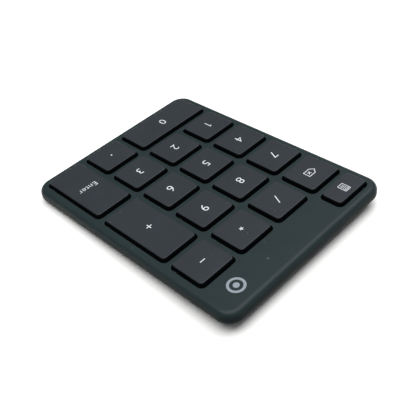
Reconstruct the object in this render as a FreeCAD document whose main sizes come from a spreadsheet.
"""Numeric keypad: eighteen keys on scissor links in a two-part case.

Everything is modelled in the case's own frame: z = 0 is the flat underside of the
case, +X is to the user's right and +Y is away from the user. The whole case is then
tilted about X, so that it stands on its front feet and on the bar under its rear edge.
"""
import FreeCAD, Part
import math
import os

import Sketcher

Vector = FreeCAD.Vector
Rotation = FreeCAD.Rotation
Placement = FreeCAD.Placement

doc = FreeCAD.newDocument("numeric_keypad")

# ---------------------------------------------------------------- driving dimensions, mm
SIZES = {
    "case_width": 81.5,
    "case_depth": 107.4,
    "case_corner": 6.3,
    "case_thickness": 5.4,
    "upper_round": 2.2,
    "lower_round": 2.0,
    "deck_thickness": 1.4,
    "rim_width": 3.2,
    "part_clearance": 0.1,
    "floor_thickness": 1.2,
    "tilt_angle": 1.8,
    "foot_height": 0.85,
    "front_foot_place": -40.0,
    "pitch_across": 19.0,
    "pitch_along": 18.0,
    "first_row": -42.0,
    "key_width": 15.6,
    "key_depth": 14.6,
    "short_key_depth": 8.5,
    "short_key_place": 45.0,
    "key_corner": 1.4,
    "key_edge": 0.35,
    "key_clearance": 0.7,
    "key_top": 6.85,
    "key_drop": 2.4,
    "key_wall": 0.9,
    "key_travel": 1.3,
    "plate_low": 1.6,
    "plate_thickness": 0.4,
    "film_thickness": 0.1,
    "bar_width": 63.0,
    "bar_front": 27.0,
    "bar_rear": 51.0,
    "bar_wall": 1.2,
    "bar_floor": 1.0,
    "rubber_height": 0.6,
    "door_width": 26.0,
    "door_front": 27.06,
    "door_rear": 48.6,
    "door_play": 0.15,
    "cell_radius": 10.0,
    "cell_thickness": 2.5,
    "cell_across": -18.0,
    "cell_along": 38.4,
    "board_low": -0.4,
    "board_thickness": 0.8,
    "lamp_across": 13.6,
    "lamp_along": 45.4,
    "link_thickness": 0.8,
    "link_pivot": 4.1,
    "link_angle": 17.8,
    "pin_radius": 0.4,
    "wire_radius": 0.35,
    "wire_arm": 5.5,
    "wire_pivot": 2.95,
    "wire_top": 5.2,
    "wire_half_span": 14.0,
    "wire_place_wide": 5.4,
    "wire_place_tall": 6.0,
    "screw_radius": 0.75,
    "screw_head": 1.4,
    "screw_play": 0.15,
    "boss_radius": 1.5,
    "post_radius": 1.2,
    "bar_corner": 3.0,
    "strip_depth": 1.8,
    "pad_across": 24.0,
    "pad_width": 16.0,
    "pad_depth": 5.0,
    "sheet_rear": 38.0,
    "tongue_width": 17.0,
    "contact_hole": 1.6,
    "board_width": 33.0,
    "board_depth": 19.6,
    "board_across": 12.5,
    "controls_along": 39.0,
    "shield_across": 20.0,
    "shield_along": 37.5,
    "shield_wall": 0.2,
    "lamp_hole": 0.5,
    "slider_across": 8.9,
    "slot_across": 10.0,
    "slot_width": 5.2,
    "slot_depth": 2.4,
    "button_across": 21.0,
    "button_radius": 1.55,
    "button_play": 0.2,
    "spring_thickness": 0.15,
    "clip_across": 6.2,
    "hook_along": 9.0,
    "homing_length": 4.8,
    "homing_width": 0.6,
    "homing_place": -4.8,
    "dome_foot": 2.95,
    "short_dome_foot": 1.7,
    "dome_neck": 1.4,
    "dome_wall": 0.35,
    "dome_cone": 2.9,
    "dome_height": 3.55,
    "dome_lift": 0.02,
}

sizes = doc.addObject("Spreadsheet::Sheet", "sizes")
for line, (alias, number) in enumerate(SIZES.items(), start=1):
    sizes.set(f"A{line}", alias)
    sizes.set(f"B{line}", str(number))
    sizes.setAlias(f"B{line}", alias)
doc.recompute()


def cell(expression):
    """Write an expression of bare aliases as one that names the sheet."""
    words = str(expression).replace("(", " ( ").replace(")", " ) ").split()
    return " ".join("sizes." + word if word in SIZES else word for word in words)


def value(expression):
    """The number that an expression of aliases gives now."""
    result = sizes.evalExpression(cell(expression))
    return float(getattr(result, "Value", result))


def bind(thing, **expressions):
    """Bind properties of an object to expressions; _x, _y and _z place it."""
    for name, expression in expressions.items():
        path = "Placement.Base." + name[1] if name in ("_x", "_y", "_z") else name
        thing.setExpression(path, cell(expression))


# ---------------------------------------------------------------- the case's tilt
TILT = math.radians(SIZES["tilt_angle"])
LIFT = (SIZES["foot_height"] * math.cos(TILT)
        - SIZES["front_foot_place"] * math.sin(TILT))
STAND = Placement(Vector(0, 0, LIFT), Rotation(Vector(1, 0, 0), SIZES["tilt_angle"]))
KEY_DOWN = STAND.Rotation.multVec(Vector(0, 0, -1))
nodes = {}


def node(thing, name, stand=STAND):
    """Name a finished sub-part and stand it in the tilted case's place."""
    thing.Label = name
    thing.Placement = stand
    nodes[name] = thing
    return thing


# ---------------------------------------------------------------- drawing helpers
def outline(body, width, depth, corner, x="0", y="0", low="0"):
    """A rounded rectangle about (x, y), drawn at the height low."""
    sketch = body.newObject("Sketcher::SketchObject", body.Name + "_outline")
    plane = next(p for p in body.Origin.OriginFeatures if p.Role == "XY_Plane")
    sketch.AttachmentSupport = [(plane, "")]
    sketch.MapMode = "FlatFace"
    for axis, place in (("x", x), ("y", y), ("z", low)):
        sketch.setExpression("AttachmentOffset.Base." + axis, cell(place))
    half_w, half_d, r = value(width) / 2, value(depth) / 2, value(corner)
    in_w, in_d = half_w - r, half_d - r
    sides = [((-in_w, -half_d), (in_w, -half_d), (in_w, -in_d), -90),
             ((half_w, -in_d), (half_w, in_d), (in_w, in_d), 0),
             ((in_w, half_d), (-in_w, half_d), (-in_w, in_d), 90),
             ((-half_w, in_d), (-half_w, -in_d), (-in_w, -in_d), 180)]
    shapes = []
    for start, end, centre, angle in sides:
        shapes.append(Part.LineSegment(Vector(*start, 0), Vector(*end, 0)))
        circle = Part.Circle(Vector(*centre, 0), Vector(0, 0, 1), r)
        shapes.append(Part.ArcOfCircle(circle, math.radians(angle), math.radians(angle + 90)))
    sketch.addGeometry(shapes, False)
    rule = Sketcher.Constraint
    rules = [rule("Tangent", i, 2, (i + 1) % 8, 1) for i in range(8)]
    rules += [rule("Horizontal", 0), rule("Horizontal", 4)]
    rules += [rule("Vertical", 2), rule("Vertical", 6)]
    rules += [rule("Equal", 1, i) for i in (3, 5, 7)]
    rules += [rule("Symmetric", 1, 3, 5, 3, -1, 1)]
    sketch.addConstraint(rules)
    driven = {"width": (rule("DistanceX", 6, 1, 2, 1, 2 * half_w), width),
              "depth": (rule("DistanceY", 0, 1, 4, 1, 2 * half_d), depth),
              "corner": (rule("Radius", 1, r), corner)}
    for name, (constraint, expression) in driven.items():
        index = sketch.addConstraint(constraint)
        sketch.renameConstraint(index, name)
        sketch.setExpression("Constraints." + name, cell(expression))
    return sketch


def pad(body, thickness, *args, **kwargs):
    """Add a rounded block to a body, upwards from its outline."""
    feature = body.newObject("PartDesign::Pad", body.Name + "_pad")
    feature.Profile = outline(body, *args, **kwargs)
    bind(feature, Length=thickness)
    return feature


def pocket(body, thickness, *args, **kwargs):
    """Cut a rounded hollow into a body, upwards from its outline."""
    sketch = outline(body, *args, **kwargs)
    feature = body.newObject("PartDesign::Pocket", body.Name + "_pocket")
    feature.Profile = sketch
    feature.Reversed = True
    bind(feature, Length=thickness)
    return feature


def round_feature(kind, body, radius, x, y, low, high):
    """A rod or a round hole, upwards from low at (x, y)."""
    feature = body.newObject(kind, body.Name + "_round")
    bind(feature, Radius=radius, Height=f"{high} - ( {low} )", _x=x, _y=y, _z=low)
    return feature


def rod(*args):
    """Add an upright rod to a body."""
    return round_feature("PartDesign::AdditiveCylinder", *args)


def hole(*args):
    """Cut an upright round hole into a body."""
    return round_feature("PartDesign::SubtractiveCylinder", *args)


def new_body(name):
    return doc.addObject("PartDesign::Body", name)


def block(name, width, depth, thickness, x, y, low):
    """A plain block whose middle is at (x, y) and whose foot is at low."""
    box = doc.addObject("Part::Box", name)
    bind(box, Length=width, Width=depth, Height=thickness,
         _x=f"{x} - ( {width} ) / 2", _y=f"{y} - ( {depth} ) / 2", _z=low)
    return box


def drum(name, radius, x, y, low, high):
    """A plain upright cylinder."""
    cylinder = doc.addObject("Part::Cylinder", name)
    bind(cylinder, Radius=radius, Height=f"{high} - ( {low} )", _x=x, _y=y, _z=low)
    return cylinder


def group(name, things):
    """Several separate solids as one sub-part."""
    compound = doc.addObject("Part::Compound", name)
    compound.Links = things
    return compound


def cut(name, base, *tools):
    """Take the tools away from the base."""
    tool = tools[0]
    if len(tools) > 1:
        tool = group(name + "_tools", list(tools))
    result = doc.addObject("Part::Cut", name)
    result.Base = base
    result.Tool = tool
    return result


# ---------------------------------------------------------------- the keys' places
# name, column, row, columns spanned, rows spanned
KEYS = [
    ("zero", 0, 0, 2, 1),
    ("point", 2, 0, 1, 1),
    ("enter", 3, 0, 1, 2),
    ("one", 0, 1, 1, 1),
    ("two", 1, 1, 1, 1),
    ("three", 2, 1, 1, 1),
    ("four", 0, 2, 1, 1),
    ("five", 1, 2, 1, 1),
    ("six", 2, 2, 1, 1),
    ("plus", 3, 2, 1, 2),
    ("seven", 0, 3, 1, 1),
    ("eight", 1, 3, 1, 1),
    ("nine", 2, 3, 1, 1),
    ("backspace", 0, 4, 1, 1),
    ("divide", 1, 4, 1, 1),
    ("multiply", 2, 4, 1, 1),
    ("minus", 3, 4, 1, 1),
]


class KeyPlace:
    """Where one key sits and how large it is, as expressions."""

    def __init__(self, name, x, y, width, depth):
        self.name, self.x, self.y, self.width, self.depth = name, x, y, width, depth
        self.short = name == "calculator"


def key_place(name, column, row, columns, rows):
    middle_column = column + (columns - 1) / 2 - 1.5
    middle_row = row + (rows - 1) / 2
    return KeyPlace(name, f"{middle_column} * pitch_across",
                    f"first_row + {middle_row} * pitch_along",
                    f"key_width + {columns - 1} * pitch_across",
                    f"key_depth + {rows - 1} * pitch_along")


places = [key_place(*key) for key in KEYS]
places.append(KeyPlace("calculator", "-1.5 * pitch_across", "short_key_place",
                       "key_width", "short_key_depth"))
WIDE_KEYS = ("zero", "plus", "enter")
# Screws come up through the floor where four keys leave a rib crossing.
SCREWS = [("-1 * pitch_across", "first_row + 1.5 * pitch_along"),
          ("pitch_across", "first_row + 1.5 * pitch_along"),
          ("-1 * pitch_across", "first_row + 3.5 * pitch_along"),
          ("pitch_across", "first_row + 3.5 * pitch_along"),
          ("0", "first_row + 0.5 * pitch_along"),
          ("0", "first_row + 2.5 * pitch_along")]
FILM_LOW = "( plate_low + plate_thickness )"
FILM_TOP = "( plate_low + plate_thickness + 3 * film_thickness )"
DECK_UNDER = "( case_thickness - deck_thickness )"
# How far a cutting tool runs past the face it opens.
PAST = 1
SPACE = 200


# ---------------------------------------------------------------- upper case
def faces_at(shape, height):
    """Names of the flat faces whose middle is at a height."""
    return [f"Face{i}" for i, face in enumerate(shape.Faces, start=1)
            if abs(face.CenterOfMass.z - height) < 1e-4 and face.BoundBox.ZLength < 1e-4]


def soften(body, height, radius):
    """Round the edges of the body's flat faces at a height."""
    doc.recompute()
    base = body.Tip
    fillet = body.newObject("PartDesign::Fillet", body.Name + "_soft")
    fillet.Base = (base, faces_at(base.Shape, value(height)))
    bind(fillet, Radius=radius)
    return fillet


def make_top_case():
    """The one-piece moulding: smooth rim, key deck and screw bosses."""
    body = new_body("top_case")
    pad(body, "case_thickness", "case_width", "case_depth", "case_corner")
    soften(body, "case_thickness", "upper_round")
    soften(body, "0", "lower_round")
    before = body.Shape.Volume
    pocket(body, DECK_UNDER, "case_width - 2 * rim_width",
           "case_depth - 2 * rim_width", "case_corner - rim_width")
    for place in places:
        pocket(body, f"case_thickness + {PAST}", f"{place.width} + 2 * key_clearance",
               f"{place.depth} + 2 * key_clearance", "key_corner + key_clearance",
               x=place.x, y=place.y)
    hole(body, "lamp_hole", "lamp_across", "lamp_along", "0", f"case_thickness + {PAST}")
    for x, y in SCREWS:
        rod(body, "boss_radius", x, y, f"{FILM_TOP} + 0.02", f"{DECK_UNDER} + 0.2")
        hole(body, "screw_radius + 0.05", x, y, FILM_TOP, f"{DECK_UNDER} + 0.4")
    doc.recompute()
    assert body.Shape.Volume < before, "the case was not hollowed"
    return node(body, "top_case")


# ---------------------------------------------------------------- lower case and bar
def space_over(name, place, height):
    """A very large box whose floor lies at a height of the given place."""
    box = doc.addObject("Part::Box", name)
    bind(box, Length=SPACE, Width=SPACE, Height=SPACE)
    corner = Vector(-SPACE / 2, -SPACE / 2, height)
    box.Placement = place.multiply(Placement(corner, Rotation()))
    return box


def make_bottom_case():
    """The floor tray with the hollow bar that holds the battery and the board."""
    body = new_body("floor_tray")
    inset = "2 * ( rim_width + part_clearance )"
    pad(body, "floor_thickness", f"case_width - {inset}", f"case_depth - {inset}",
        "case_corner - rim_width - part_clearance")
    middle = "( bar_front + bar_rear ) / 2"
    span = "( bar_rear - bar_front )"
    # The bar's walls start well below the table and are trimmed level further down.
    depth = SIZES["bar_rear"] * math.tan(TILT) + LIFT + 2 * PAST
    pad(body, depth, "bar_width", span, "bar_corner", y=middle, low=-depth)
    pocket(body, 2 * depth, "bar_width - 2 * bar_wall", f"{span} - 2 * bar_wall",
           "bar_corner - bar_wall", y=middle, low=-depth - PAST)
    for x, y in SCREWS:
        hole(body, "screw_radius + screw_play", x, y, -PAST, f"floor_thickness + {PAST}")
        hole(body, "screw_head + 0.2", x, y, -PAST, "0.75")
    # Posts carry the steel plate where no screw boss comes down on it.
    for column, row in ((-1.5, 0.5), (-1.5, 1.5), (-1.5, 2.5), (0, 1.5),
                        (1.5, 0.5), (1.5, 1.5), (1.5, 2.5)):
        rod(body, "post_radius", f"{column} * pitch_across",
            f"first_row + {row} * pitch_along", "floor_thickness - 0.1",
            "plate_low - 0.02")
    upper = doc.addObject("Part::Common", "tray_above_table")
    upper.Base = body
    upper.Tool = space_over("space_above_rubber", STAND.inverse(), SIZES["rubber_height"])
    bar_plate = block("bar_plate", "bar_width - 2", f"{span} - 2", "bar_floor",
                      "0", middle, "rubber_height")
    level_plate = group("level_bar_plate", [bar_plate])
    level_plate.Placement = STAND.inverse()
    joined = doc.addObject("Part::Fuse", "tray_with_bar")
    joined.Base = upper
    joined.Tool = level_plate
    opening = block("door_opening", "door_width", "door_rear - door_front + 2",
                    "bar_floor + 0.24", "cell_across", "( door_front + door_rear ) / 2 - 1",
                    "rubber_height - 0.2")
    slot = block("slider_slot", "slot_width", "slot_depth", "3", "slot_across",
                 "controls_along", "0")
    press = drum("button_hole", "button_radius + button_play", "button_across",
                 "controls_along", "0", "3")
    openings = group("bar_openings", [opening, slot, press])
    openings.Placement = STAND.inverse()
    return node(cut("bottom_case", joined, openings), "bottom_case")


def make_feet():
    """Rubber that meets the table: one strip on the bar, two pads in front."""
    strip = block("rear_foot", "bar_width - 8", "strip_depth", "rubber_height",
                  "0", "bar_rear - 1.2", "0")
    node(strip, "rear_foot", Placement(strip.Placement))
    pads = [block(f"front_pad_{name}", "pad_width", "pad_depth", "2 * foot_height",
                  f"{side} * pad_across", "front_foot_place", "0")
            for name, side in (("left", -1), ("right", 1))]
    feet = cut("front_feet", group("front_pads", pads), space_over("space_of_case", STAND, 0))
    node(feet, "front_feet", Placement())


# ---------------------------------------------------------------- battery and board
def make_battery():
    """Coin cell, its door in the bar's floor, and the two contact springs."""
    low = "rubber_height + bar_floor + 0.05"
    coin = drum("coin_cell", "cell_radius", "cell_across", "cell_along", low,
                f"{low} + cell_thickness")
    node(coin, "coin_cell", Placement(coin.Placement))
    body = new_body("battery_door")
    pad(body, "bar_floor - 0.02", "door_width - 2 * door_play",
        "door_rear - door_front - door_play", "0.3", x="cell_across",
        y="( door_front + door_rear - door_play ) / 2", low="rubber_height")
    for groove in range(4):
        pocket(body, "0.3", "8", "0.7", "0.3", x="cell_across",
               y=f"door_front + 4 + {groove} * 1.5", low="rubber_height")
    node(body, "battery_door", Placement())
    top = f"( {low} + cell_thickness )"
    spring = new_body("battery_contact_minus")
    for width, depth, corner, shift in ((9, 5, 1, 0), (16, 2, 0.3, 9)):
        pad(spring, "spring_thickness", width, depth, corner, x=f"cell_across + {shift}",
            y="cell_along", low=f"{top} + 0.03")
    pad(spring, "0.5", "0.9", "2", "0.1", x="cell_across + 16.5", y="cell_along",
        low=f"{top} - 0.38")
    node(spring, "battery_contact_minus", Placement())
    side = new_body("battery_contact_plus")
    pad(side, "2.4", "0.3", "7", "0.1", x="cell_across + cell_radius + 0.4", y="cell_along",
        low=low)
    pad(side, "0.2", "5.6", "2.4", "0.09", x="cell_across + cell_radius + 3.1",
        y="cell_along", low=f"{low} + 2.15")
    node(side, "battery_contact_plus", Placement())


def make_board():
    """Circuit board with its shield, lamp, chips and the two switches under it."""
    board = new_body("circuit_board")
    pad(board, "board_thickness", "board_width", "board_depth", "1", x="board_across",
        y="controls_along", low="board_low")
    for side in (-13, 13):
        hole(board, "0.9", f"board_across + {side}", "controls_along - 7.5",
             f"board_low - {PAST}", f"board_low + board_thickness + {PAST}")
    node(board, "circuit_board")
    top = "( board_low + board_thickness )"
    shield = new_body("shield_can")
    spot = {"x": "shield_across", "y": "shield_along", "low": top}
    pad(shield, "1.0", "11", "9", "0.6", **spot)
    pocket(shield, "1.0 - shield_wall", "11 - 2 * shield_wall", "9 - 2 * shield_wall",
           "0.6 - shield_wall", **spot)
    node(shield, "shield_can")
    lamp = block("lamp", "1.6", "0.8", "0.6", "lamp_across", "lamp_along", top)
    chip = block("chip", "5", "5", "0.8", "4", "36", top)
    crystal = block("crystal", "3.2", "1.5", "0.6", "4", "42", top)
    radio = block("radio_chip", "4", "4", "0.6", "shield_across", "shield_along", top)
    socket = block("membrane_socket", "12", "2.6", "0.9", "12", "31", top)
    parts = [lamp, chip, crystal, radio, socket]
    for number in range(4):
        parts.append(block(f"capacitor_{number}", "1", "0.5", "0.5", f"{number} * 2.4 - 1",
                           "46", top))
    node(group("board_components", parts), "board_components")
    slide_switch = block("slide_switch", "6", "2.6", "0.75", "11", "39.5", "board_low - 0.75")
    press_switch = block("press_switch", "3.4", "3.4", "0.45", "button_across", "39.5",
                         "board_low - 0.45")
    node(group("board_switches", [slide_switch, press_switch]), "board_switches")
    pipe = new_body("light_pipe")
    rod(pipe, "0.45", "lamp_across", "lamp_along", f"{top} + 0.65", "case_thickness - 0.02")
    rod(pipe, "1.3", "lamp_across", "lamp_along", f"{DECK_UNDER} - 0.6", DECK_UNDER)
    node(pipe, "light_pipe")


def make_controls():
    """The slider and the press button that show on the bar's underside."""
    slider = new_body("power_slider")
    inner = "rubber_height + bar_floor"
    spot = {"x": "slider_across", "y": "controls_along"}
    pad(slider, "0.35", "7.6", "3.4", "0.4", low=f"{inner} + 0.05", **spot)
    pad(slider, "bar_floor - 0.1", "2.7", "2.0", "0.3", low="rubber_height + 0.2", **spot)
    for step in (-0.7, 0, 0.7):
        pocket(slider, "0.2", "0.3", "2.2", "0.1", x=f"slider_across + {step}",
               y="controls_along", low="rubber_height + 0.1")
    node(slider, "power_slider", Placement())
    button = new_body("pair_button")
    spot = ("button_across", "controls_along")
    rod(button, "button_radius", *spot, "rubber_height + 0.15", f"{inner} + 0.1")
    rod(button, "button_radius + 0.75", *spot, f"{inner} + 0.05", f"{inner} + 0.35")
    node(button, "pair_button", Placement())


# ---------------------------------------------------------------- plate and films
def sheet_layer(name, low, thickness, shrink, holes):
    """A flat layer under the keys, with a tongue under the short key."""
    body = new_body(name)
    inset = f"2 * ( rim_width + {shrink} )"
    half = f"( case_depth / 2 - rim_width - {shrink} )"
    corner = "case_corner - rim_width"
    pad(body, thickness, f"case_width - {inset}", f"{half} + sheet_rear", corner,
        y=f"( sheet_rear - {half} ) / 2", low=low)
    # The tongue starts well inside the sheet, clear of the sheet's rounded corner.
    tongue = f"( {half} - sheet_rear + 2 * ( {corner} ) )"
    pad(body, thickness, "tongue_width", tongue, corner, x="-1.5 * pitch_across",
        y=f"{half} - {tongue} / 2", low=low)
    for x, y in SCREWS:
        hole(body, holes, x, y, f"{low} - {PAST}", f"{low} + {PAST}")
    return node(body, name)


def make_sheets():
    """The steel plate and the three films of the switch membrane."""
    sheet_layer("base_plate", "plate_low", "plate_thickness", "0.3", "1.1")
    films = ("membrane_bottom_film", "membrane_spacer", "membrane_top_film")
    for number, name in enumerate(films):
        low = f"( {FILM_LOW} + {number} * film_thickness )"
        body = sheet_layer(name, low, "film_thickness", "0.6", "1.9")
        if name == "membrane_spacer":
            for place in places:
                hole(body, "contact_hole", place.x, place.y, f"{low} - {PAST}",
                     f"{low} + {PAST}")


# ---------------------------------------------------------------- keys
def make_keycap(place):
    """A flat cap with a thin skirt and, inside, the pads that its scissor clips to."""
    name = "key_" + place.name
    body = new_body(name)
    low = "( key_top - key_drop )"
    pad(body, "key_drop", place.width, place.depth, "key_corner", x=place.x, y=place.y,
        low=low)
    soften(body, "key_top", "key_edge")
    pocket(body, "key_drop - key_wall", f"{place.width} - 2 * key_wall",
           f"{place.depth} - 2 * key_wall", "key_corner - key_wall", x=place.x, y=place.y,
           low=low)
    ceiling = "key_top - key_wall"
    tall = place.name in ("plus", "enter")
    for side in (-1,) if tall else (-1, 1):
        pad(body, "0.7", "1.0", "1.6", "0.3", x=f"{place.x} + {side} * clip_across",
            y=place.y, low=f"{ceiling} - 0.65")
    if place.name in WIDE_KEYS:
        for side in (-1, 1):
            if tall:
                size = ("0.5", "2.4")
                spot = (f"{place.x} + wire_place_tall - 0.75",
                        f"{place.y} + {side} * hook_along")
            else:
                size = ("2.4", "0.5")
                spot = (f"{place.x} + {side} * hook_along",
                        f"{place.y} + wire_place_wide - 0.75")
            pad(body, "1.1", *size, "0.2", x=spot[0], y=spot[1], low=f"{ceiling} - 1.05")
    if place.name == "five":
        pad(body, "0.25", "homing_length", "homing_width", "homing_width / 2 - 0.01",
            x=place.x, y=f"{place.y} + homing_place", low="key_top - 0.03")
    return node(body, name)


def make_link(name, width, length, bar, pins):
    """One flat frame of a scissor, about its own pivot."""
    body = new_body(name)
    pad(body, "link_thickness", width, length, "0.6", low="-1 * link_thickness / 2")
    pocket(body, 2 * PAST, f"{width} - 2 * {bar}", f"{length} - 2 * {bar}", "0.4", low=-PAST)
    for side in (-1, 1):
        feature = body.newObject(
            "PartDesign::AdditiveCylinder" if pins else "PartDesign::SubtractiveCylinder",
            name + "_pivot")
        radius = "pin_radius - 0.05" if pins else "pin_radius"
        bind(feature, Radius=radius, Height="0.95")
        start = value(width) / 2 - 0.4 if pins else value(width) / 2 - 0.96
        at = start if side > 0 else -start - 0.95
        feature.Placement = Placement(Vector(at, 0, 0), Rotation(Vector(0, 1, 0), 90))
    return body


def make_scissor_masters():
    """The two frame sizes: for a full key and for the short one."""
    masters = {}
    for label, length, angle in (("full", 9.0, SIZES["link_angle"]), ("short", 5.8, 26.0)):
        outer = make_link(f"{label}_outer_link", "10.8", length, "0.95", False)
        inner = make_link(f"{label}_inner_link", "8.5", length, "0.85", True)
        masters[label] = ((outer, angle), (inner, -angle))
    return masters


def linked(source, name, placement):
    """One more copy of a part that is drawn once."""
    link = doc.addObject("App::Link", name)
    link.LinkedObject = source
    link.Placement = placement
    return link


def make_scissor(place, masters):
    """The pair of crossed frames that keeps one key level."""
    pair = []
    for number, (link, angle) in enumerate(masters["short" if place.short else "full"]):
        centre = Vector(value(place.x), value(place.y), SIZES["link_pivot"])
        turned = Placement(centre, Rotation(Vector(1, 0, 0), angle))
        pair.append(linked(link, f"{place.name}_link_{number}", turned))
    node(group("scissor_" + place.name, pair), "scissor_" + place.name)


def make_domes():
    """Silicone domes on the membrane, one under the middle of each key."""
    masters = {}
    for label, foot in (("full", "dome_foot"), ("short", "short_dome_foot")):
        outer = doc.addObject("Part::Cone", f"{label}_dome_wall")
        bind(outer, Radius1=foot, Radius2="dome_neck", Height="dome_cone")
        inner = doc.addObject("Part::Cone", f"{label}_dome_hollow")
        bind(inner, Radius1=f"{foot} - dome_wall", Radius2="dome_neck - 0.5",
             Height="dome_cone - dome_wall", _z="-0.01")
        shell = cut(f"{label}_dome_shell", outer, inner)
        cap = drum(f"{label}_dome_cap", "dome_neck", "0", "0", "dome_cone - 0.01",
                   "dome_height")
        plunger = drum(f"{label}_dome_plunger", "0.6", "0", "0", "1.2",
                       "dome_cone - dome_wall + 0.15")
        dome = doc.addObject("Part::MultiFuse", f"{label}_dome")
        dome.Shapes = [shell, cap, plunger]
        masters[label] = dome
    domes = []
    for place in places:
        at = Vector(value(place.x), value(place.y), value(f"{FILM_TOP} + dome_lift"))
        source = masters["short" if place.short else "full"]
        domes.append(linked(source, f"dome_{place.name}", Placement(at, Rotation())))
    node(group("rubber_domes", domes), "rubber_domes")


def make_stabilizer(place, along_y):
    """A bent wire that keeps a long key level: two arms, a long run and two feet."""
    toe = 1.5
    reach = math.sqrt(SIZES["wire_arm"] ** 2 - (SIZES["wire_top"] - SIZES["wire_pivot"]) ** 2)
    half = SIZES["wire_half_span"]
    run_place = SIZES["wire_place_tall" if along_y else "wire_place_wide"]
    radius = SIZES["wire_radius"]
    low, high = SIZES["wire_pivot"], SIZES["wire_top"]
    points = [Vector(-half + toe, run_place - reach, low), Vector(-half, run_place - reach, low),
              Vector(-half, run_place, high), Vector(half, run_place, high),
              Vector(half, run_place - reach, low), Vector(half - toe, run_place - reach, low)]
    solids = [Part.makeCylinder(radius, (b - a).Length, a, b - a)
              for a, b in zip(points, points[1:])]
    solids += [Part.makeSphere(radius, bend) for bend in points[1:-1]]
    wire = doc.addObject("Part::Feature", "stabilizer_" + place.name)
    shape = solids[0].multiFuse(solids[1:]).removeSplitter()
    centre = Vector(value(place.x), value(place.y), 0)
    turn = Rotation(Vector(0, 0, 1), -90 if along_y else 0)
    wire.Shape = shape
    here = STAND.multiply(Placement(centre, turn))
    node(wire, "stabilizer_" + place.name, here)
    print("hinge of", wire.Label, "at", here.multVec(points[0]),
          "along", here.Rotation.multVec(Vector(1, 0, 0)))


# ---------------------------------------------------------------- screws
def make_screws():
    """Six small screws up through the floor."""
    screws = []
    for number, (x, y) in enumerate(SCREWS):
        head = drum(f"screw_head_{number}", "screw_head", x, y, "0.1", "0.73")
        shank = drum(f"screw_shank_{number}", "screw_radius", x, y, "0.7", "4.1")
        screw = doc.addObject("Part::Fuse", f"screw_{number}")
        screw.Base = head
        screw.Tool = shank
        screws.append(screw)
    node(group("case_screws", screws), "case_screws")


make_top_case()
make_bottom_case()
make_feet()
make_battery()
make_board()
make_controls()
make_sheets()
for key in places:
    make_keycap(key)
scissor_masters = make_scissor_masters()
for key in places:
    make_scissor(key, scissor_masters)
    if key.name in WIDE_KEYS:
        make_stabilizer(key, along_y=key.name != "zero")
make_domes()
make_screws()
doc.recompute()

# ---------------------------------------------------------------- check and write
for thing in doc.Objects:
    bad = [state for state in thing.State if state in ("Invalid", "Error")]
    assert not bad, f"{thing.Label}: {bad}"
os.makedirs("parts", exist_ok=True)
for name, thing in nodes.items():
    assert not thing.Shape.isNull() and thing.Shape.isValid(), f"{name} has no valid shape"
    assert thing.Shape.Solids, f"{name} has no solid"
    thing.Shape.exportStep(f"parts/{name}.step")
print(len(nodes), "sub-parts; keys travel along", KEY_DOWN)
